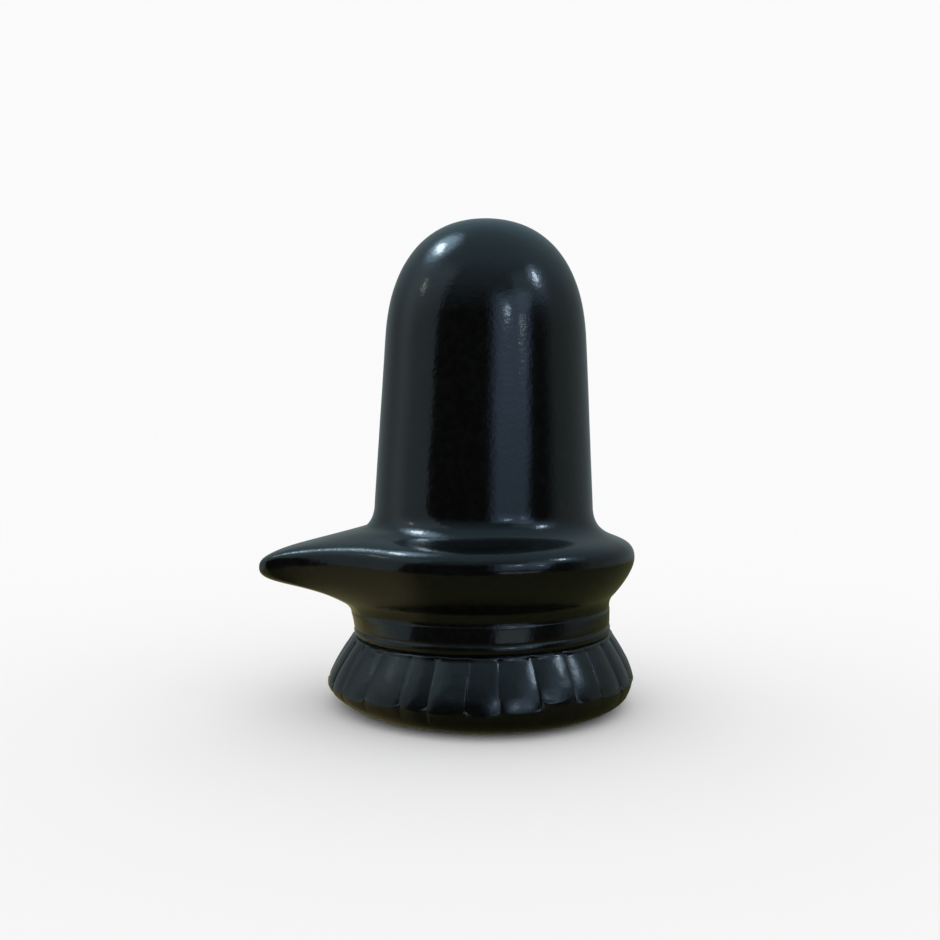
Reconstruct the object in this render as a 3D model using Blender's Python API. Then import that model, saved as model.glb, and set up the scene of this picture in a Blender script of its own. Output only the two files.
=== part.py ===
"""Small shiva lingam carved from one black stone and polished.

Metres, +Z up. The origin is on the axis of the shaft, at the underside, and the spout points along -X.
The stone is a loft of rings, from the flat underside up to the top of the dome. Each ring has a radius and a
height from the turned profile, then three things shape it away from a circle: the petals round the base,
the spout of the plate, and the corbel that carries the spout.
"""

import math

import bmesh
import bpy

# Lip: the plain rounded foot under the petals
foot_radius = 0.0200          # edge of the flat underside
lip_radius = 0.02355          # lip at its widest
lip_belly_height = 0.0031     # height of the widest place
lip_height = 0.0043           # top of the lip, where the petals start
foot_tuck = 0.00014           # how far the lip draws in under the petals' feet

# Lotus petals round the base
petal_count = 28
petal_foot_radius = 0.02375   # rounded feet, which stand a little proud of the lip
petal_foot_round = 0.0006     # height over which a foot rounds out
petal_height = 0.00645        # from the lip up to the crease
petal_belly = 0.00015         # how far a petal swells past a straight slope
petal_top_radius = 0.0204     # crowns just under the crease
petal_shoulder = 0.0005       # height over which the crowns round in to the crease
petal_groove = 0.00045        # depth of the grooves between petals
petal_scallop = 0.0006        # how much higher the lip shows between two feet
petal_start_angle = 186       # degrees, the first border between two petals
petal_widths = (0.93, 1.09, 1.24, 0.78, 1.01, 0.89, 1.09, 1.05, 0.93, 1.09, 1.01, 0.98, 0.92, 0.99)

# Neck: a plain band between two thin beads
neck_radius = 0.01987
crease_depth = 0.0002         # crease over the petals, in from the neck
crease_width = 0.00035
bead_height = 0.0011          # each bead
bead_swell = 0.0002           # how far a bead stands out
band_height = 0.00255
band_groove = 0.00012         # fine line between the band and a bead
groove_width = 0.0004

# Plate, with its spout
rim_radius = 0.0236
flare_height = 0.0070         # from the upper bead out to the rim
crown_height = 0.00795        # from the rim up to where the shaft runs straight
spout_length = 0.0108         # from the rim out to the tip
spout_tip_radius = 0.0028
spout_drop = 0.0017           # how far the tip hangs under the rim's height
spout_crown_height = 0.0042   # height over the rim at which the spout's ridge meets the shaft's foot
corbel_height = 0.0043        # depth under the rim at which the corbel has half its reach

# Shaft: a slight taper that carries on into the dome
shaft_foot_radius = 0.0171
shaft_top_radius = 0.0158
shaft_length = 0.0252         # up to where the dome starts
dome_height = 0.0190

# Shape of the curves
petal_fullness = 0.6          # how full a petal is across: 1 is a sine, less is flatter with narrow grooves
foot_groove_share = 0.8       # how much of the grooves' depth is cut at the feet
shoulder_groove_share = 0.7   # and under the crease
dome_fullness = 2.42          # 2 is an ellipse, more is squarer
flare_pull = (0.42, 0.47)     # handles of the curve under the rim, as shares of its height
crown_pull = (0.55, 0.81)     # handles of the curve over the rim
spout_crown_power = 3.0       # how long the ridge stays out before it climbs to the shaft
corbel_power = 2.8            # how sharply the corbel falls away

# Facets
columns_per_petal = 4
tip_share = 0.3               # how strongly the columns crowd into the spout's round tip
lip_steps = 4
petal_places = (0.2, 0.4, 0.6, 0.8)
flare_places = (0.0, 0.25, 0.45, 0.65, 0.85)
crown_places = (0.0, 0.12, 0.24, 0.37, 0.5, 0.63, 0.78, 1.0)
dome_steps = 10
dome_crowding = 0.85          # under 1, the rings open out towards the dome's start
smooth_angle = 40             # degrees, sharper edges are shaded as edges

stone_colour = (0.010, 0.012, 0.013, 1.0)
stone_roughness = 0.2


def cubic(start, pull_start, pull_end, end, share):
    """Point on a cubic curve that leaves the start upright and reaches the end upright."""
    rest = 1 - share
    lower = rest ** 3 + 3 * rest * rest * share
    upper = 1 - lower
    radius = lower * start[0] + upper * end[0]
    height = (
        rest ** 3 * start[1]
        + 3 * rest * rest * share * (start[1] + pull_start)
        + 3 * rest * share * share * (end[1] - pull_end)
        + share ** 3 * end[1]
    )
    return radius, height


def upright_curve(start, end, pulls, places):
    rise = end[1] - start[1]
    return [Ring(*cubic(start, pulls[0] * rise, pulls[1] * rise, end, place)) for place in places]


def petal_borders():
    """Angles of the borders between petals, each petal as wide as its share says."""
    shares = [petal_widths[i % len(petal_widths)] for i in range(petal_count)]
    turn = math.tau / sum(shares)
    angles = [math.radians(petal_start_angle)]
    for share in shares:
        angles.append(angles[-1] + share * turn)
    return angles


def column_angles():
    """Angle of each column, and its place across its petal: 0 in the groove, 1 on the crown."""
    borders = petal_borders()
    angles = []
    crowns = []
    for left, right in zip(borders, borders[1:]):
        for step in range(columns_per_petal):
            share = step / columns_per_petal
            angles.append(left + share * (right - left))
            crowns.append(math.sin(math.pi * share) ** petal_fullness)
    return angles, crowns


def outline_point(turn):
    """Point on the plate's outline at a share of a turn, from +X: a circle, two straight sides and a round tip."""
    reach = rim_radius + spout_length - spout_tip_radius
    lean = math.acos(max(-1.0, min(1.0, (rim_radius - spout_tip_radius) / reach)))
    arc = math.pi - lean
    lengths = (rim_radius * arc, reach * math.sin(lean), spout_tip_radius * lean)
    turns = (arc / math.pi, 0.0, lean / math.pi)
    shares = [(1 - tip_share) * a / sum(lengths) + tip_share * b for a, b in zip(lengths, turns)]
    turn = turn % 1.0
    side = 1 if turn <= 0.5 else -1
    place = 2 * min(turn, 1 - turn)
    if place <= shares[0]:
        angle = arc * place / shares[0]
        return rim_radius * math.cos(angle), side * rim_radius * math.sin(angle)
    if place <= shares[0] + shares[1]:
        along = (place - shares[0]) / shares[1]
        radius = rim_radius + along * (spout_tip_radius - rim_radius)
        return radius * math.cos(arc) - along * reach, side * radius * math.sin(arc)
    angle = arc + lean * min(1.0, (place - shares[0] - shares[1]) / shares[2])
    return spout_tip_radius * math.cos(angle) - reach, side * spout_tip_radius * math.sin(angle)


def spout_share(height, crease_top, rim_height):
    """How much of the spout a ring at this height takes: all at the rim, none at the crease or up the shaft."""
    if height >= rim_height:
        return 1 - min(1.0, (height - rim_height) / spout_crown_height) ** spout_crown_power
    half = corbel_height / (rim_height - crease_top)
    down = min(1.0, (rim_height - height) / (rim_height - crease_top))
    floor = 1 / (1 + (1 / half) ** corbel_power)
    return (1 / (1 + (down / half) ** corbel_power) - floor) / (1 - floor)


class Ring:
    """One ring of the profile, with how much it takes of the petals' grooves and scallops."""

    def __init__(self, radius, height, groove=0.0, scallop=0.0):
        self.radius = radius
        self.height = height
        self.groove = groove
        self.scallop = scallop


def lip_rings():
    rings = []
    for step in range(lip_steps + 1):
        angle = math.pi / 2 * step / lip_steps
        radius = foot_radius + (lip_radius - foot_radius) * math.sin(angle)
        rings.append(Ring(radius, lip_belly_height * (1 - math.cos(angle))))
    return rings


def petal_rings(crease):
    """Rings on the petals' crowns. The grooves cut in from them, least at the feet and under the crease."""
    shoulder = crease - petal_shoulder
    foot = lip_height + petal_foot_round
    rings = [Ring(lip_radius - foot_tuck, lip_height, scallop=1.0)]
    rings.append(Ring(petal_foot_radius, foot, groove=foot_groove_share, scallop=1.0))
    for place in petal_places:
        radius = petal_foot_radius + place * (petal_top_radius - petal_foot_radius)
        swell = 4 * petal_belly * place * (1 - place)
        rings.append(Ring(radius + swell, foot + place * (shoulder - foot), groove=1.0, scallop=1 - place))
    rings.append(Ring(petal_top_radius, shoulder, groove=shoulder_groove_share))
    rings.append(Ring(neck_radius - crease_depth, crease))
    return rings


def neck_rings(crease):
    lower = crease + crease_width
    band = lower + bead_height
    upper = band + band_height
    return [
        Ring(neck_radius, lower),
        Ring(neck_radius + bead_swell, lower + bead_height / 2),
        Ring(neck_radius - band_groove, band),
        Ring(neck_radius, band + groove_width),
        Ring(neck_radius, upper - groove_width),
        Ring(neck_radius - band_groove, upper),
        Ring(neck_radius + bead_swell, upper + bead_height / 2),
    ]


def plate_rings(start_height, rim_height):
    start = (neck_radius + bead_swell / 2, start_height)
    rim = (rim_radius, rim_height)
    foot = (shaft_foot_radius, rim_height + crown_height)
    return upright_curve(start, rim, flare_pull, flare_places) + upright_curve(rim, foot, crown_pull, crown_places)


def shaft_rings(foot_height):
    """Rings up the shaft and over the dome, all but the point at the top."""
    dome_start = foot_height + shaft_length
    slope = (shaft_top_radius - shaft_foot_radius) / shaft_length
    rings = [Ring((shaft_foot_radius + shaft_top_radius) / 2, foot_height + shaft_length / 2)]
    for step in range(dome_steps):
        angle = math.pi / 2 * (step / dome_steps) ** dome_crowding
        rise = dome_height * math.sin(angle) ** (2 / dome_fullness)
        taper = shaft_top_radius + slope * rise
        rings.append(Ring(taper * math.cos(angle) ** (2 / dome_fullness), dome_start + rise))
    return rings


def ring_points(ring, angles, crowns, crease, rim_height):
    """The ring's points, with the spout and the petals worked in."""
    reach = spout_share(ring.height, crease, rim_height) if ring.height > crease else 0.0
    points = []
    for angle, crown in zip(angles, crowns):
        radius = ring.radius - ring.groove * petal_groove * (1 - crown)
        height = ring.height + ring.scallop * petal_scallop * (1 - crown)
        x = radius * math.cos(angle)
        y = radius * math.sin(angle)
        if reach > 0:
            out_x, out_y = outline_point(angle / math.tau)
            x += reach * (out_x - rim_radius * math.cos(angle))
            y += reach * (out_y - rim_radius * math.sin(angle))
            height -= reach * spout_drop * (math.hypot(out_x, out_y) - rim_radius) / spout_length
        points.append((x, y, height))
    return points


def bridge(mesh, lower, upper):
    """Faces between two rings, where the upper one has as many points as the lower, or half as many."""
    count = len(upper)
    step = len(lower) // count
    for i in range(count):
        after = (i + 1) % count
        if step == 1:
            mesh.faces.new((lower[i], lower[after], upper[after], upper[i]))
            continue
        left, middle, right = lower[2 * i], lower[2 * i + 1], lower[2 * after]
        mesh.faces.new((left, middle, upper[i]))
        mesh.faces.new((middle, right, upper[after], upper[i]))


def stone_material():
    material = bpy.data.materials.new("polished_black_stone")
    material.use_nodes = True
    shader = material.node_tree.nodes["Principled BSDF"]
    shader.inputs["Base Color"].default_value = stone_colour
    shader.inputs["Roughness"].default_value = stone_roughness
    shader.inputs["Metallic"].default_value = 0.0
    return material


def build_lingam():
    crease = lip_height + petal_height
    flare_start = crease + crease_width + 2 * bead_height + band_height
    rim_height = flare_start + flare_height
    shaft_start = rim_height + crown_height
    lower_rings = lip_rings() + petal_rings(crease) + neck_rings(crease) + plate_rings(flare_start, rim_height)

    angles, crowns = column_angles()
    mesh = bmesh.new()
    loops = []
    for ring in lower_rings:
        points = ring_points(ring, angles, crowns, crease, rim_height)
        loops.append([mesh.verts.new(point) for point in points])
    for ring in shaft_rings(shaft_start):
        points = ring_points(ring, angles[::2], crowns[::2], crease, rim_height)
        loops.append([mesh.verts.new(point) for point in points])
    for lower, upper in zip(loops, loops[1:]):
        bridge(mesh, lower, upper)
    mesh.faces.new(reversed(loops[0]))
    apex = mesh.verts.new((0, 0, shaft_start + shaft_length + dome_height))
    last = loops[-1]
    for i, point in enumerate(last):
        mesh.faces.new((point, last[(i + 1) % len(last)], apex))

    data = bpy.data.meshes.new("shiva_lingam")
    mesh.to_mesh(data)
    mesh.free()
    data.shade_smooth()
    data.set_sharp_from_angle(angle=math.radians(smooth_angle))
    data.materials.append(stone_material())
    lingam = bpy.data.objects.new("shiva_lingam", data)
    bpy.context.scene.collection.objects.link(lingam)
    return lingam


def main():
    for old in list(bpy.data.objects):
        bpy.data.objects.remove(old)
    build_lingam()


main()
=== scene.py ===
import math

import bpy
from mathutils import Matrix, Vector, noise


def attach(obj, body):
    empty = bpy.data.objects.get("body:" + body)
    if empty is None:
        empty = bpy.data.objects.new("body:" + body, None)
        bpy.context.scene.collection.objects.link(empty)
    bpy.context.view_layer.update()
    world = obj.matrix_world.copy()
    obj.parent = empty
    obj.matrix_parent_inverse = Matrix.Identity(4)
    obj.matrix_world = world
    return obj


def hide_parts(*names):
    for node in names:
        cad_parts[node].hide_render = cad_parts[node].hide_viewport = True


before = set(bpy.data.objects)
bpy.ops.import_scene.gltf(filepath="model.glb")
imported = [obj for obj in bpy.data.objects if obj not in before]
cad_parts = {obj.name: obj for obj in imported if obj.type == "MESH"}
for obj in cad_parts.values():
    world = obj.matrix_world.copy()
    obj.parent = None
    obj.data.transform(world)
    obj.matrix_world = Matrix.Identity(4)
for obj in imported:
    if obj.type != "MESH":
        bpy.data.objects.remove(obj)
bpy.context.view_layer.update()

mm = 0.001
bpy.ops.object.select_all(action="DESELECT")

# Camera, set where the photo was taken from

cameraSetup = {
    "distance": 142.97 * mm,   # from the shaft's axis
    "height": 37.24 * mm,
    "turn": -14,               # degrees round the stone, from the -Y side
    "roll": -0.67,             # degrees
    "focal": 905 / 940,        # as a share of the picture's width
    "axisAcross": 14.3 / 940,  # the shaft's axis, right of the middle of the picture
    "horizonUp": 8.1 / 940,    # the horizon, above the middle
    "sensor": 36,              # its width, in millimetres
    "clip": (0.01, 20),        # nearest and farthest that it sees, in metres
}


def makeCamera():
    setup = cameraSetup
    turn = math.radians(setup["turn"])
    place = (setup["distance"] * math.sin(turn), -setup["distance"] * math.cos(turn), setup["height"])
    bpy.ops.object.camera_add(location=place, rotation=(math.pi / 2, math.radians(setup["roll"]), turn))
    camera = bpy.context.object
    camera.name = "photoCamera"
    camera.data.sensor_width = setup["sensor"]
    camera.data.lens = setup["focal"] * setup["sensor"]
    camera.data.shift_x = -setup["axisAcross"]
    camera.data.shift_y = -setup["horizonUp"]
    camera.data.clip_start, camera.data.clip_end = setup["clip"]
    bpy.context.scene.camera = camera


# The direction from the stone to a place so many degrees right of the camera, as the picture shows it, and up
def awayFrom(across, up=0):
    turn = math.radians(cameraSetup["turn"] + across)
    rise = math.radians(up)
    return Vector((math.cos(rise) * math.sin(turn), -math.cos(rise) * math.cos(turn), math.sin(rise)))


makeCamera()
print("camera placed")

# The stone's turned profile, from the underside up to the top of the dome.
# A pull is the length of a curve's handle: the longer, the farther the curve keeps its direction there.

stone = {
    "footRadius": 17.6 * mm,
    "lipRadius": 23.5 * mm,
    "lipTop": 3.35 * mm,         # the petals' feet stand out just above it
    "lipTurn": 82,               # degrees that the lip rounds through from the underside
    "petalFootRadius": 23.62 * mm,
    "petalFootRound": 0.35 * mm,
    "petalFootPull": 1.2 * mm,
    "petalTopLean": 34,          # degrees from upright
    "petalTopPull": 3.4 * mm,
    "petalTopRadius": 20.4 * mm,
    "shoulder": 0.5 * mm,        # height over which the petals round in to the crease
    "crease": 10.75 * mm,        # height of the crease over the petals
    "creaseDepth": 0.12 * mm,
    "creaseWidth": 0.3 * mm,
    "neckRadius": 19.87 * mm,
    "beadHeight": 1.1 * mm,
    "beadSwell": 0.12 * mm,
    "bandHeight": 2.55 * mm,
    "lineDepth": 0.09 * mm,      # fine line over and under the band
    "lineWidth": 0.3 * mm,
    "neckPull": 0.8 * mm,
    "coveRadius": 20.45 * mm,    # where the underside of the plate leans out most
    "coveHeight": 16.75 * mm,
    "coveLean": 42,              # degrees from upright
    "covePull": 2.4 * mm,
    "rimRadius": 23.58 * mm,
    "rim": 22.85 * mm,           # height of the rim
    "rimPull": 1.6 * mm,         # under the rim
    "crownPull": 4.37 * mm,      # over it
    "shaftFoot": 30.8 * mm,
    "shaftFootRadius": 17.1 * mm,
    "shaftFootPull": 6.44 * mm,
    "domeStart": 56.0 * mm,
    "shaftTopRadius": 15.8 * mm,
    "top": 74.98 * mm,
    "domeFullness": 2.42,        # 2 is an ellipse, more is squarer
    "petals": 28,
    "columnsPerPetal": 16,
    "sharpTurn": 50,             # degrees between two faces past which their edge stays sharp
}

profileRows = {                  # rows of faces in each part of the profile
    "underside": 6,
    "lip": 16,
    "petalFoot": 5,
    "petalFace": 22,
    "petalShoulder": 7,
    "bead": 8,
    "line": 4,
    "band": 5,
    "cove": 10,
    "flare": 22,
    "crown": 34,
    "shaft": 20,
    "dome": 32,
}


def along(part):
    rows = profileRows[part]
    return [row / rows for row in range(1, rows + 1)]


def curvePoints(start, out, into, end, steps):
    first = Vector(start)
    last = Vector(end)
    second = first + Vector(out)
    third = last - Vector(into)
    points = []
    for step in range(1, steps + 1):
        t = step / steps
        point = (1 - t) ** 3 * first + 3 * (1 - t) ** 2 * t * second
        point += 3 * (1 - t) * t * t * third + t ** 3 * last
        points.append(tuple(point))
    return points


def lipPoints():
    foot = stone["footRadius"]
    turn = math.radians(stone["lipTurn"])
    reach = (stone["lipRadius"] - foot) / math.sin(turn)
    rise = stone["lipTop"] / (1 - math.cos(turn))
    return [(foot + reach * math.sin(turn * t), rise * (1 - math.cos(turn * t))) for t in along("lip")]


def petalPoints():
    lip = stone["lipRadius"]
    foot = stone["petalFootRadius"]
    top = stone["petalTopRadius"]
    points = []
    for t in along("petalFoot"):
        angle = math.pi / 2 * t
        height = stone["lipTop"] + stone["petalFootRound"] * (1 - math.cos(angle))
        points.append((lip + (foot - lip) * math.sin(angle), height))
    low = stone["lipTop"] + stone["petalFootRound"]
    high = stone["crease"] - stone["shoulder"]
    lean = math.radians(stone["petalTopLean"])
    into = stone["petalTopPull"] * Vector((-math.sin(lean), math.cos(lean)))
    rows = profileRows["petalFace"]
    points += curvePoints((foot, low), (0, stone["petalFootPull"]), into, (top, high), rows)
    creased = stone["neckRadius"] - stone["creaseDepth"]
    for t in along("petalShoulder"):
        angle = math.pi / 2 * t
        height = high + stone["shoulder"] * math.sin(angle)
        points.append((top - (top - creased) * (1 - math.cos(angle)), height))
    return points


def neckPoints():
    neck = stone["neckRadius"]
    crease = stone["crease"]
    line = stone["lineDepth"]
    width = stone["lineWidth"]
    bead = crease + stone["creaseWidth"]
    band = bead + stone["beadHeight"]
    flat = stone["bandHeight"] - 2 * width
    # Out of the crease by a point a third of its width up, then the bead, and the band between its lines
    points = [(neck - stone["creaseDepth"] / 3, crease + stone["creaseWidth"] / 3), (neck, bead)]
    for t in along("bead"):
        swelling = stone["beadSwell"] * math.sin(math.pi * t) - line * t * t
        points.append((neck + swelling, bead + t * stone["beadHeight"]))
    points += [(neck - line * (1 - t) ** 2, band + t * width) for t in along("line")]
    points += [(neck, band + width + flat * t) for t in along("band")]
    points += [(neck - line * t * t, band + width + flat + t * width) for t in along("line")]
    return points


def platePoints():
    neckTop = stone["crease"] + stone["creaseWidth"] + stone["beadHeight"] + stone["bandHeight"]
    neck = (stone["neckRadius"] - stone["lineDepth"], neckTop)
    cove = (stone["coveRadius"], stone["coveHeight"])
    rim = (stone["rimRadius"], stone["rim"])
    shaft = (stone["shaftFootRadius"], stone["shaftFoot"])
    lean = math.radians(stone["coveLean"])
    reach = Vector((math.sin(lean), math.cos(lean)))
    pull = stone["neckPull"]
    points = curvePoints(neck, (0, pull), pull * reach, cove, profileRows["cove"])
    points += curvePoints(cove, stone["covePull"] * reach, (0, stone["rimPull"]), rim, profileRows["flare"])
    crown = ((0, stone["crownPull"]), (0, stone["shaftFootPull"]))
    return points + curvePoints(rim, *crown, shaft, profileRows["crown"])


def shaftPoints():
    foot = stone["shaftFoot"]
    length = stone["domeStart"] - foot
    slope = (stone["shaftTopRadius"] - stone["shaftFootRadius"]) / length
    points = [(stone["shaftFootRadius"] + slope * length * t, foot + length * t) for t in along("shaft")]
    power = 2 / stone["domeFullness"]
    for t in along("dome"):
        angle = math.pi / 2 * t
        rise = (stone["top"] - stone["domeStart"]) * math.sin(angle) ** power
        taper = stone["shaftTopRadius"] + slope * rise
        points.append((taper * max(0.0, math.cos(angle)) ** power, stone["domeStart"] + rise))
    return points


# A point on the axis is drawn out along the profile, and the profile is spun round the axis
def turnStone():
    points = [(0, 0)] + [(stone["footRadius"] * t, 0) for t in along("underside")]
    points += lipPoints() + petalPoints() + neckPoints() + platePoints() + shaftPoints()
    bpy.ops.mesh.primitive_plane_add(size=mm)
    turned = bpy.context.object
    turned.name = "lingamStone"
    bpy.ops.object.mode_set(mode="EDIT")
    bpy.ops.mesh.merge(type="CENTER")
    for (oldRadius, oldHeight), (radius, height) in zip(points, points[1:]):
        step = (radius - oldRadius, 0, height - oldHeight)
        bpy.ops.mesh.extrude_region_move(TRANSFORM_OT_translate={"value": step})
    bpy.ops.mesh.select_all(action="SELECT")
    columns = stone["petals"] * stone["columnsPerPetal"]
    bpy.ops.mesh.spin(steps=columns, angle=math.tau, center=(0, 0, 0), axis=(0, 0, 1))
    bpy.ops.mesh.select_all(action="SELECT")
    bpy.ops.mesh.remove_doubles(threshold=0.002 * mm)   # closes the seam and both poles
    bpy.ops.mesh.normals_make_consistent(inside=False)
    bpy.ops.object.mode_set(mode="OBJECT")
    print("stone turned,", len(turned.data.polygons), "faces")
    return turned


lingamStone = turnStone()

# Hand work: the petals, the spout and the slight unevenness left by the tools

petalCut = {
    "startAngle": 186,         # degrees, the first border between two petals
    "widths": (0.93, 1.09, 1.24, 0.78, 1.01, 0.89, 1.09, 1.05, 0.93, 1.09, 1.01, 0.98, 0.92, 0.99),
    # How far each petal's foot is raised, in mm
    "footRaise": (0.1, 0.2, 0.4, 0.4, 0.0, -0.1, 0.1, 1.2, 0.4, 0.2, 0.1, 0.3, 0.0, 0.2),
    "footStart": 1.9 * mm,     # height on the lip where the feet start to rise
    "scallop": 0.7 * mm,       # how far a foot's rounded end turns up at the grooves
    "groove": 0.26 * mm,
    "fullness": 0.6,           # 1 is a sine across the petal, less is flatter with narrow grooves
    "crowding": 0.55,          # how strongly the columns crowd into the grooves
    # How far each petal's right edge stands out, and its left edge in, in mm
    "leans": (0.1, -0.1, 0.05, -0.15, 0.1, 0.0, -0.1, 0.3, 0.15, -0.1, -0.05, 0.1, -0.1, 0.05),
    "settle": 0.1 * mm,        # how far a petal's top and foot stand in or out
    "settleSeed": (1.7, 7.5, 0.5),
    "bulge": 0.45 * mm,        # how much fuller the ring is on the spout's side
    "bulgePower": 4,           # more keeps it nearer to the spout
}

spoutCut = {
    "length": 10.8 * mm,       # from the rim out to the tip
    "tipRadius": 2.8 * mm,
    "tipTurn": 62,             # degrees round the tip on each side
    "tipPull": 6.0 * mm,
    "leave": 40,               # degrees from the spout's middle where its sides leave the rim
    "leavePull": 4.5 * mm,
    "sideSteps": 40,
    "drop": 1.7 * mm,          # how far the tip hangs
    "dropPower": 1.5,          # more keeps the fall nearer to the tip
    "keel": 0.11,              # how far the edge of its sides stands out, as a share of its length
    "keelRise": 0.9 * mm,      # how far over the rim
    "keelWidth": 0.8 * mm,
    "keelFade": (0.75, 0.97),  # shares of its length between which the edge fades towards the tip
    "crownHeight": 4.2 * mm,   # how far over the rim the spout's ridge meets the shaft's foot
    "crownPower": 3.0,         # more keeps the ridge out longer
    "corbelHeight": 3.75 * mm,  # how far under the rim the corbel has half its reach
    "corbelPower": 2.8,        # more makes it fall away sharply
    "crowding": 0.3,           # how strongly the columns crowd into the outline's turns
    "turnShares": (0.78, 0.0, 0.22),   # of those, the rim's, the sides' and the tip's
}

unevenness = {
    # Size of the swells, how far they stand out, and a seed
    "broad": (14 * mm, 0.05 * mm, 1),
    "tooled": (2.6 * mm, 0.012 * mm, 2),
    "carved": (1.5 * mm, 0.035 * mm, 3),
    "rim": (3.0 * mm, 0.035 * mm, 4),
    "rimReach": 3 * mm,        # over and under the rim
    "plateDip": 0.45 * mm,     # how far the plate's rim dips in front
    "plateReach": 6 * mm,      # over and under the rim
    "dipTurn": -8,             # degrees right of the camera
    "dipPower": 12,            # more makes the dip narrower
    "lineTilt": 0.02,          # how much the lines on the neck run uphill to the right
}


def rising(value, low, high):
    return min(1.0, max(0.0, (value - low) / (high - low)))


def falling(value, low, high):
    return 1 - rising(value, low, high)


def petalBorders():
    widths = petalCut["widths"]
    shares = [widths[petal % len(widths)] for petal in range(stone["petals"])]
    borders = [math.radians(petalCut["startAngle"])]
    for share in shares:
        borders.append(borders[-1] + math.tau * share / sum(shares))
    return borders


# Half of the plate's outline seen from above: round the rim, along one side of the spout, and round its tip
def spoutOutline():
    tip = spoutCut["tipRadius"]
    rim = stone["rimRadius"]
    reach = rim + spoutCut["length"] - tip
    leave = math.radians(spoutCut["leave"])
    turn = math.radians(spoutCut["tipTurn"])
    start = (-rim * math.cos(leave), rim * math.sin(leave))
    end = (-reach - tip * math.cos(turn), tip * math.sin(turn))
    out = (-spoutCut["leavePull"] * math.sin(leave), -spoutCut["leavePull"] * math.cos(leave))
    into = (-spoutCut["tipPull"] * math.sin(turn), -spoutCut["tipPull"] * math.cos(turn))
    side = [start] + curvePoints(start, out, into, end, spoutCut["sideSteps"])
    length = sum(math.dist(one, other) for one, other in zip(side, side[1:]))
    lengths = (rim * (math.pi - leave), length, tip * turn)
    crowd = spoutCut["crowding"]
    shares = []
    for part, turned in zip(lengths, spoutCut["turnShares"]):
        shares.append((1 - crowd) * part / sum(lengths) + crowd * turned)
    return {"side": side, "reach": reach, "arc": math.pi - leave, "turn": turn, "shares": shares}


def outlinePoint(outline, turn):
    tip = spoutCut["tipRadius"]
    rim = stone["rimRadius"]
    side = outline["side"]
    shares = outline["shares"]
    turn = turn % 1
    flip = 1 if turn <= 0.5 else -1
    place = 2 * min(turn, 1 - turn)
    if place <= shares[0]:
        angle = outline["arc"] * place / shares[0]
        return rim * math.cos(angle), flip * rim * math.sin(angle)
    if place <= shares[0] + shares[1]:
        step = (place - shares[0]) / shares[1] * (len(side) - 1)
        index = min(int(step), len(side) - 2)
        point = Vector(side[index]).lerp(Vector(side[index + 1]), step - index)
        return point.x, flip * point.y
    angle = outline["turn"] * (1 - min(1, (place - shares[0] - shares[1]) / shares[2]))
    return -outline["reach"] - tip * math.cos(angle), flip * tip * math.sin(angle)


# How much of the spout's reach a height has: all at the rim, none where the ridge ends and at the crease
def spoutShare(height):
    if height >= stone["rim"]:
        return 1 - min(1, (height - stone["rim"]) / spoutCut["crownHeight"]) ** spoutCut["crownPower"]
    span = stone["rim"] - stone["crease"]
    half = spoutCut["corbelHeight"] / span
    power = spoutCut["corbelPower"]
    down = min(1, (stone["rim"] - height) / span)
    floor = 1 / (1 + (1 / half) ** power)
    return (1 / (1 + (down / half) ** power) - floor) / (1 - floor)


faceRows = profileRows["petalFoot"] + profileRows["petalFace"]
petalFace = petalPoints()[profileRows["petalFoot"] - 1:faceRows]


def faceRadius(height):
    for (oldRadius, oldHeight), (radius, top) in zip(petalFace, petalFace[1:]):
        if height <= top:
            return oldRadius + (radius - oldRadius) * rising(height, oldHeight, top)
    return petalFace[-1][0]


def carvePetal(radius, height, share, petal):
    foot = stone["lipTop"] + stone["petalFootRound"]
    shoulder = stone["crease"] - stone["shoulder"]
    raises = petalCut["footRaise"]
    up = rising(height, petalCut["footStart"], stone["lipTop"])
    fade = falling(height, foot, shoulder)
    turnUp = 1 - math.sqrt(max(0, 1 - (2 * share - 1) ** 2))
    lifted = height + up * fade * (raises[petal % len(raises)] * mm + petalCut["scallop"] * turnUp)
    radius += faceRadius(lifted) - faceRadius(height)   # a raised foot keeps to the face's slope
    crown = math.sin(math.pi * share) ** petalCut["fullness"]
    cut = rising(height, stone["lipTop"], foot) * falling(height, shoulder, stone["crease"])
    lean = petalCut["leans"][petal % len(petalCut["leans"])] * mm
    apart, *seed = petalCut["settleSeed"]
    settle = 2 * petalCut["settle"] * noise.noise(Vector((petal * apart, *seed)))
    radius += cut * lean * (2 * share - 1)
    radius += cut * settle * (1 - 2 * fade)
    return radius - petalCut["groove"] * cut * (1 - crown), lifted


def swell(point, kind):
    size, depth, seed = unevenness[kind]
    return depth * noise.noise(point / size + Vector((seed, 2 * seed, 3 * seed)))


def nearRim(height, reach):
    return max(0, 1 - abs(height - stone["rim"]) / reach)


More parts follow.
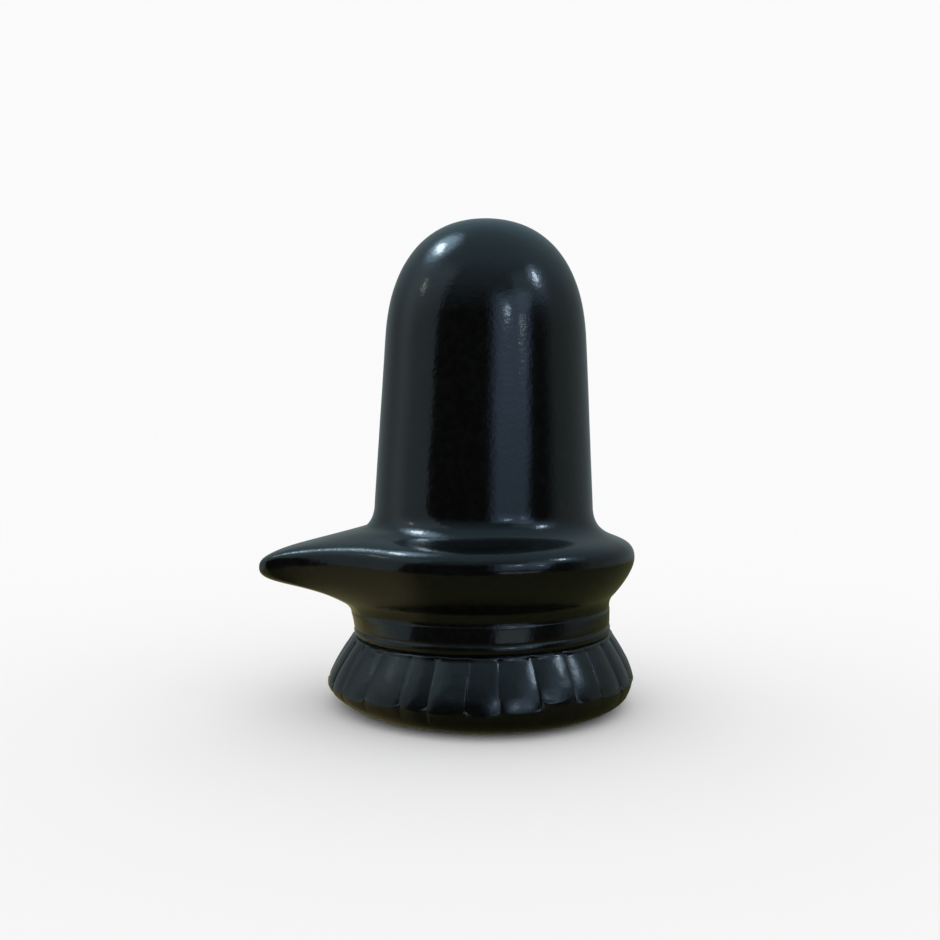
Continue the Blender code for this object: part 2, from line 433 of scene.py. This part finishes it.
# Each vertex moves to its petal's column, and then to the petal's face, the spout and the dip of the rim
def carveStone(piece):
    borders = petalBorders()
    outline = spoutOutline()
    perPetal = stone["columnsPerPetal"]
    columns = stone["petals"] * perPetal
    view = math.radians(cameraSetup["turn"])
    right = Vector((math.cos(view), math.sin(view), 0))
    dip = awayFrom(unevenness["dipTurn"])
    rim = stone["rimRadius"]
    lipTop = stone["lipTop"]
    for vertex in piece.data.vertices:
        radius = math.hypot(vertex.co.x, vertex.co.y)
        height = vertex.co.z
        if radius < 0.01 * mm:
            continue   # the two poles
        column = round(math.atan2(vertex.co.y, vertex.co.x) / math.tau * columns) % columns
        petal = column // perPetal
        share = column % perPetal / perPetal
        share -= petalCut["crowding"] * math.sin(math.tau * share) / math.tau
        angle = borders[petal] + share * (borders[petal + 1] - borders[petal])
        ring = rising(height, 0, lipTop) * falling(height, lipTop, stone["crease"])
        radius += ring * petalCut["bulge"] * max(0, -math.cos(angle - view)) ** petalCut["bulgePower"]
        if petalCut["footStart"] < height < stone["crease"]:
            radius, height = carvePetal(radius, height, share, petal)
        point = Vector((radius * math.cos(angle), radius * math.sin(angle), height))
        reach = spoutShare(height) if height > stone["crease"] else 0
        if reach > 0:
            out = outlinePoint(outline, angle / math.tau)
            far = rising(math.hypot(*out), rim, rim + spoutCut["length"])
            over = (height - stone["rim"] - spoutCut["keelRise"]) / spoutCut["keelWidth"]
            keel = spoutCut["keel"] * math.exp(-over * over) * falling(far, *spoutCut["keelFade"])
            point.x += (reach + keel) * (out[0] - rim * math.cos(angle))
            point.y += (reach + keel) * (out[1] - rim * math.sin(angle))
            point.z -= reach * spoutCut["drop"] * far ** spoutCut["dropPower"]
        faced = max(0, math.cos(angle) * dip.x + math.sin(angle) * dip.y) ** unevenness["dipPower"]
        point.z -= nearRim(height, unevenness["plateReach"]) * unevenness["plateDip"] * faced
        onNeck = rising(height, petalCut["footStart"], lipTop)
        onNeck *= falling(height, stone["coveHeight"], stone["rim"])
        point.z += onNeck * unevenness["lineTilt"] * point.dot(right)
        vertex.co = point
    print("petals and spout carved")


def roughenStone(piece):
    normals = [vertex.normal.copy() for vertex in piece.data.vertices]
    for vertex, normal in zip(piece.data.vertices, normals):
        height = vertex.co.z
        if height > 0:
            push = swell(vertex.co, "broad") + swell(vertex.co, "tooled")
            if petalCut["footStart"] < height < stone["crease"]:
                push += swell(vertex.co, "carved")
            push += swell(vertex.co, "rim") * nearRim(height, unevenness["rimReach"])
            # The lip is only cut into, so nothing goes under the floor
            vertex.co -= normal * (abs(push) if height < petalCut["footStart"] else push)
    print("surface left slightly uneven")


carveStone(lingamStone)
roughenStone(lingamStone)
bpy.context.view_layer.objects.active = lingamStone
bpy.ops.object.shade_smooth_by_angle(angle=math.radians(stone["sharpTurn"]))
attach(lingamStone, "root")
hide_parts("shiva_lingam")

# Small helpers for the nodes of the stone, the room and the floor


def fadeBetween(tree, source, low, high, smooth=True, ends=(0, 1)):
    fade = tree.nodes.new("ShaderNodeMapRange")
    fade.interpolation_type = "SMOOTHSTEP" if smooth else "LINEAR"
    for socket, value in zip(("From Min", "From Max", "To Min", "To Max"), (low, high, *ends)):
        fade.inputs[socket].default_value = value
    tree.links.new(source, fade.inputs["Value"])
    return fade.outputs["Result"]


def combine(tree, operation, first, second):
    node = tree.nodes.new("ShaderNodeMath")
    node.operation = operation
    for socket, value in zip(node.inputs, (first, second)):
        if isinstance(value, (int, float)):
            socket.default_value = value
        else:
            tree.links.new(value, socket)
    return node.outputs["Value"]


# The cosine of the angle between two directions, or a place's distance along one
def facing(tree, place, direction):
    dot = tree.nodes.new("ShaderNodeVectorMath")
    dot.operation = "DOT_PRODUCT"
    dot.inputs[1].default_value = direction
    tree.links.new(place, dot.inputs[0])
    return dot.outputs["Value"]


def blendColours(tree, share, first, second, kind="MIX"):
    blend = tree.nodes.new("ShaderNodeMix")
    blend.data_type = "RGBA"
    blend.blend_type = kind
    tree.links.new(share, blend.inputs["Factor"])
    for socket, colour in ((blend.inputs[6], first), (blend.inputs[7], second)):   # the colours' sockets
        if isinstance(colour, tuple):
            socket.default_value = colour
        else:
            tree.links.new(colour, socket)
    return blend.outputs[2]


def mixShaders(tree, share, first, second):
    mix = tree.nodes.new("ShaderNodeMixShader")
    for socket, source in zip(mix.inputs, (share, first, second)):
        tree.links.new(source, socket)
    return mix.outputs["Shader"]


def addNoise(tree, place, scale, detail):
    texture = tree.nodes.new("ShaderNodeTexNoise")
    texture.inputs["Scale"].default_value = scale
    texture.inputs["Detail"].default_value = detail
    tree.links.new(place, texture.inputs["Vector"])
    return texture.outputs["Fac"]


# Polished black stone

polish = {
    "ior": 1.5,
    "grain": (900, 4),         # noise scale and detail, here and below
    "grainColours": ((0.0007, 0.0008, 0.0008, 1), (0.0022, 0.0024, 0.0024, 1)),
    "grainStops": (0.4, 0.75),
    "smudges": (90, 5),
    "smudgeStops": (0.3, 0.7),
    "roughness": (0.09, 0.17),
    "carvedRoughness": 0.09,   # added where the petals are cut, which are polished less finely
    "carvedStart": (2.5 * mm, 4.5 * mm),   # heights where that comes in, and is full
    "carvedEnd": (10.8 * mm, 9.8 * mm),    # heights where it is gone, and is still full
    "peel": (1600, 2),
    "peelDepth": 0.02 * mm,
}


def makePolishedStone():
    material = bpy.data.materials.new("polishedBlackStone")
    material.use_nodes = True
    tree = material.node_tree
    shader = tree.nodes["Principled BSDF"]
    shader.inputs["IOR"].default_value = polish["ior"]
    place = tree.nodes.new("ShaderNodeTexCoord").outputs["Object"]

    colours = tree.nodes.new("ShaderNodeValToRGB")
    stops = zip(colours.color_ramp.elements, polish["grainStops"], polish["grainColours"])
    for element, position, colour in stops:
        element.position = position
        element.color = colour
    tree.links.new(addNoise(tree, place, *polish["grain"]), colours.inputs["Fac"])
    tree.links.new(colours.outputs["Color"], shader.inputs["Base Color"])

    smudges = addNoise(tree, place, *polish["smudges"])
    rough = fadeBetween(tree, smudges, *polish["smudgeStops"], smooth=False, ends=polish["roughness"])
    height = facing(tree, place, (0, 0, 1))
    carved = fadeBetween(tree, height, *polish["carvedStart"])
    carved = combine(tree, "MULTIPLY", carved, fadeBetween(tree, height, *polish["carvedEnd"]))
    carved = combine(tree, "MULTIPLY", carved, polish["carvedRoughness"])
    tree.links.new(combine(tree, "ADD", rough, carved), shader.inputs["Roughness"])

    bump = tree.nodes.new("ShaderNodeBump")
    bump.inputs["Distance"].default_value = polish["peelDepth"]
    tree.links.new(addNoise(tree, place, *polish["peel"]), bump.inputs["Height"])
    tree.links.new(bump.outputs["Normal"], shader.inputs["Normal"])
    return material


lingamStone.data.materials.append(makePolishedStone())
print("stone polished")

# Studio: a pale floor, and a softly lit room that only the polish reflects

studio = {
    "aim": 38 * mm,            # height that the lamps point at
    "lampDistance": 2.0,
    "floorSize": 40,
    "floorColour": (0.80, 0.80, 0.80, 1),
    "floorLight": 1.2,
    "backdrop": 0.96,
    # The polish sees the floor darker round the foot: distances from the axis where the shade starts to fade
    # and is gone
    "contact": (20 * mm, 31 * mm),
    "contactShade": (0.4, 0.37, 0.34, 1),
}

room = {
    "front": (0.030, 0.030, 0.031, 1),    # the dark side behind the camera
    "walls": (0.21, 0.26, 0.27, 1),
    "ceiling": (0.33, 0.51, 0.62, 1),
    "ground": (0.120, 0.125, 0.055, 1),
    "farGround": (0.33, 0.30, 0.15, 1),
    "frontTurn": -10,                     # degrees right of the camera
    "frontEdge": (0.26, -0.09),           # cosines where the dark side starts to fade, and is gone
    "ceilingEdge": (0.18, 0.80),          # sines of the heights where the ceiling starts, and is full
    "ceilingDip": -0.2,                   # makes it start higher in front and behind than at the sides
    "groundEdge": (-0.28, -0.42),         # sines where the ground starts, and is full
    "groundRise": 0.13,                   # makes it start higher at the sides, and highest behind
    "farTurn": -115,                      # degrees right of the camera
    "farEdge": (0.3, 0.6),                # cosines where the far ground starts, and is full
    "edgeLean": 0.3,                      # how far the panels' right edges lean out towards the top
    "glowPower": 2,                       # more draws the glows in to their middles
}

# Left and right edges, then lower and upper edges, each with its softness, in degrees right of the camera
# and up; then radiance and colour
softPanels = {
    "leftWall": (-106, 36, -61, 4, -16, 7, 50, 18, 0.42, (0.74, 1.0, 1.08)),
    "rightWindow": (8, 14, 46, 9, -2, 3, 31, 6, 0.6, (0.64, 0.95, 1.38)),
    "rightWindowTop": (13, 6, 43, 8, 8, 6, 27, 8, 0.28, (0.62, 0.92, 1.3)),
    "rightWindowLow": (11, 8, 44, 10, -16, 4, -6, 3, 0.66, (0.8, 1.0, 1.15)),
    "rightWallTop": (35, 12, 72, 12, 24, 8, 44, 10, 0.36, (0.66, 1.0, 1.3)),
}

# Degrees right of the camera and up, radius in degrees, radiance and colour
glows = {
    "leftGlow": (-108, 57, 20, 3.0, (0.66, 1.0, 1.25)),
    "rightHighGlow": (70, 40, 11, 1.6, (0.7, 1.0, 1.35)),
    "rightNearGlow": (24, 21, 8, 0.8, (0.7, 0.95, 1.3)),
}

# Degrees right of the camera and up, width and height in degrees, radiance and colour
lamps = {
    "leftLamp": (-106.5, 54.5, 13, 8, 13.0, (0.86, 1.0, 1.12)),
    "leftSmallLamp": (-85, 31, 4, 7, 3.2, (1.0, 1.0, 0.87)),
    "rightLampNear": (24.5, 20.5, 4.5, 3, 11.0, (0.85, 1.0, 1.2)),
    "rightLampFar": (41, 16.3, 3.5, 2, 10.0, (0.92, 1.0, 1.1)),
    "rightLampHigh": (70.5, 39, 4, 9, 17.0, (0.82, 1.0, 1.2)),
}


def addLamp(name, across, up, wide, high, radiance, colour):
    distance = studio["lampDistance"]
    away = awayFrom(across, up)
    place = Vector((0, 0, studio["aim"])) + distance * away
    bpy.ops.object.light_add(type="AREA", location=place, rotation=away.to_track_quat("Z", "Y").to_euler())
    lamp = bpy.context.object
    lamp.name = name
    lamp.data.shape = "ELLIPSE"
    lamp.data.size = 2 * distance * math.tan(math.radians(wide / 2))
    lamp.data.size_y = 2 * distance * math.tan(math.radians(high / 2))
    area = lamp.data.size * lamp.data.size_y * math.pi / 4
    lamp.data.energy = radiance * math.pi * area
    lamp.data.color = colour
    lamp.visible_camera = False
    lamp.visible_diffuse = False


def panelShare(tree, place, up, left, leftSoft, right, rightSoft, low, lowSoft, high, highSoft):
    halves = [math.sin(math.radians(soft / 2)) for soft in (leftSoft, rightSoft)]
    share = fadeBetween(tree, facing(tree, place, awayFrom(left + 90)), -halves[0], halves[0])
    lean = awayFrom(right - 90) + room["edgeLean"] * Vector((0, 0, 1))
    other = fadeBetween(tree, facing(tree, place, lean), -halves[1], halves[1])
    share = combine(tree, "MULTIPLY", share, other)
    edges = [math.sin(math.radians(edge)) for edge in (low - lowSoft / 2, low + lowSoft / 2)]
    share = combine(tree, "MULTIPLY", share, fadeBetween(tree, up, *edges))
    edges = [math.sin(math.radians(edge)) for edge in (high + highSoft / 2, high - highSoft / 2)]
    return combine(tree, "MULTIPLY", share, fadeBetween(tree, up, *edges))


def lightColour(radiance, tint):
    return tuple(radiance * part for part in tint) + (1,)


def roomColour(tree):
    place = tree.nodes.new("ShaderNodeTexCoord").outputs["Generated"]   # in a world, the direction
    up = facing(tree, place, (0, 0, 1))
    front = facing(tree, place, awayFrom(room["frontTurn"]))
    colour = blendColours(tree, fadeBetween(tree, front, *room["frontEdge"]), room["front"], room["walls"])
    dip = combine(tree, "MULTIPLY", combine(tree, "ABSOLUTE", front, 0), room["ceilingDip"])
    above = fadeBetween(tree, combine(tree, "ADD", up, dip), *room["ceilingEdge"], smooth=False)
    colour = blendColours(tree, above, colour, room["ceiling"])
    far = fadeBetween(tree, facing(tree, place, awayFrom(room["farTurn"])), *room["farEdge"])
    ground = blendColours(tree, far, room["ground"], room["farGround"])
    rise = combine(tree, "MULTIPLY", combine(tree, "SUBTRACT", front, 1), room["groundRise"])
    below = fadeBetween(tree, combine(tree, "ADD", up, rise), *room["groundEdge"])
    colour = blendColours(tree, below, colour, ground)
    for *edges, radiance, tint in softPanels.values():
        share = panelShare(tree, place, up, *edges)
        colour = blendColours(tree, share, colour, lightColour(radiance, tint), "ADD")
    for across, rise, radius, radiance, tint in glows.values():
        edge = math.cos(math.radians(radius))
        near = fadeBetween(tree, facing(tree, place, awayFrom(across, rise)), edge, 1)
        near = combine(tree, "POWER", near, room["glowPower"])
        colour = blendColours(tree, near, colour, lightColour(radiance, tint), "ADD")
    return colour


# Three lights in one world: the backdrop for the camera, the room for the polish, an even light for the floor
def makeRoom():
    world = bpy.data.worlds.new("studioRoom")
    bpy.context.scene.world = world
    world.use_nodes = True
    world.cycles.sampling_method = "NONE"
    tree = world.node_tree
    tree.nodes.clear()
    lights = {}
    for name in ("room", "floorLight", "backdrop"):
        lights[name] = tree.nodes.new("ShaderNodeBackground")
    tree.links.new(roomColour(tree), lights["room"].inputs["Color"])
    for name in ("floorLight", "backdrop"):
        lights[name].inputs["Color"].default_value = (1, 1, 1, 1)
        lights[name].inputs["Strength"].default_value = studio[name]
    light = {name: node.outputs["Background"] for name, node in lights.items()}
    rays = tree.nodes.new("ShaderNodeLightPath").outputs
    plain = mixShaders(tree, rays["Is Camera Ray"], light["floorLight"], light["backdrop"])
    output = tree.nodes.new("ShaderNodeOutputWorld")
    tree.links.new(mixShaders(tree, rays["Is Glossy Ray"], plain, light["room"]), output.inputs["Surface"])


# The polish sees through the floor to the room's ground, darker round the foot
def makeFloor():
    bpy.ops.mesh.primitive_plane_add(size=studio["floorSize"], location=(0, 0, 0))
    floor = bpy.context.object
    floor.name = "paleFloor"
    material = bpy.data.materials.new("paleFloorPaint")
    floor.data.materials.append(material)
    material.use_nodes = True
    tree = material.node_tree
    paint = tree.nodes["Principled BSDF"]
    paint.inputs["Base Color"].default_value = studio["floorColour"]
    paint.inputs["Roughness"].default_value = 1
    paint.inputs["Specular IOR Level"].default_value = 0
    place = tree.nodes.new("ShaderNodeTexCoord").outputs["Object"]
    away = tree.nodes.new("ShaderNodeVectorMath")
    away.operation = "LENGTH"
    tree.links.new(place, away.inputs[0])
    share = fadeBetween(tree, away.outputs["Value"], *studio["contact"])
    shade = tree.nodes.new("ShaderNodeBsdfTransparent")
    tree.links.new(blendColours(tree, share, studio["contactShade"], (1, 1, 1, 1)), shade.inputs["Color"])
    glossy = tree.nodes.new("ShaderNodeLightPath").outputs["Is Glossy Ray"]
    seen = mixShaders(tree, glossy, paint.outputs["BSDF"], shade.outputs["BSDF"])
    tree.links.new(seen, tree.nodes["Material Output"].inputs["Surface"])


makeRoom()
makeFloor()
for name, setting in lamps.items():
    addLamp(name, *setting)
bpy.context.scene.view_settings.view_transform = "Standard"
print("studio lit")
